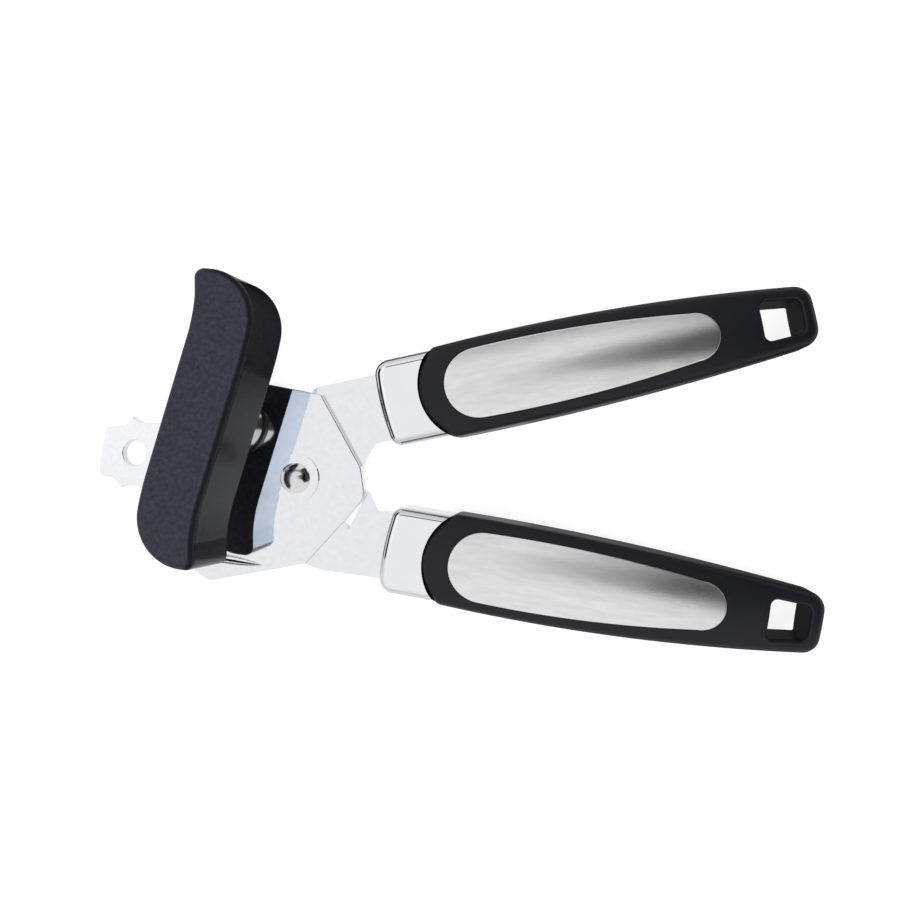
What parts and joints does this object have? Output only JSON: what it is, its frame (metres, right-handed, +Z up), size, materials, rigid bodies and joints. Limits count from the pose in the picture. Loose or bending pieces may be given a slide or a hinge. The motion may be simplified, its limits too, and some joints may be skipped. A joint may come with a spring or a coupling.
{
  "type": "manual can opener",
  "caption": "Hand can opener with two hinged handles, a turning knob that drives a toothed feed wheel, a free cutting disc and a bottle opener tab.",
  "frame": {"origin": "centre of the bounding box at its lowest level: the surface that the tool lies on", "axes": "+X from the head to the handle ends along the middle line between the handles, +Y towards the upper handle, +Z up, from the back of the tool to the knob"},
  "size_m": [0.2062, 0.1034, 0.0378],
  "materials": {
    "steel": "polished sheet",
    "chrome": "polished",
    "inlay_steel": "brushed lengthwise",
    "black_grip": "satin",
    "black_knob": "fine-grained",
    "black_washer": "smooth",
    "bright_steel": "turned",
    "hard_steel": "ground"
  },
  "bodies": {
    "lower_arm": {"front_plate": "steel", "pivot_rivet": "bright_steel", "pivot_washer": "steel", "pivot_back_washer": "steel", "drive_bushing": "bright_steel", "lower_collar": "chrome", "lower_grip": "black_grip", "lower_front_inlay": "inlay_steel", "lower_rear_inlay": "inlay_steel", "lower_tang_pins": "bright_steel"},
    "upper_arm": {"rear_plate": "steel", "cutter_pin": "bright_steel", "cutter_washer": "bright_steel", "upper_collar": "chrome", "upper_grip": "black_grip", "upper_front_inlay": "inlay_steel", "upper_rear_inlay": "inlay_steel", "upper_tang_pins": "bright_steel"},
    "turning_knob": {"knob": "black_knob", "knob_hub": "chrome", "knob_washer": "black_washer", "drive_shaft": "bright_steel", "feed_wheel": "hard_steel", "drive_nut": "bright_steel"},
    "cutter": {"cutter_wheel": "hard_steel"}
  },
  "joints": [
    {"name": "handle_pivot", "type": "hinge", "parent": "lower_arm", "child": "upper_arm", "pos_m": [-0.03943, -0.00444, 0.00945], "axis": [0, 0, 1], "range_deg": [-20, 25]},
    {"name": "knob_spin", "type": "hinge", "parent": "lower_arm", "child": "turning_knob", "pos_m": [-0.05683, 0.01176, 0.01255], "axis": [0, 0, 1], "continuous": true},
    {"name": "cutter_spin", "type": "hinge", "parent": "upper_arm", "child": "cutter", "pos_m": [-0.05842, -0.0107, 0.00215], "axis": [0, 0, 1], "continuous": true}
  ]
}
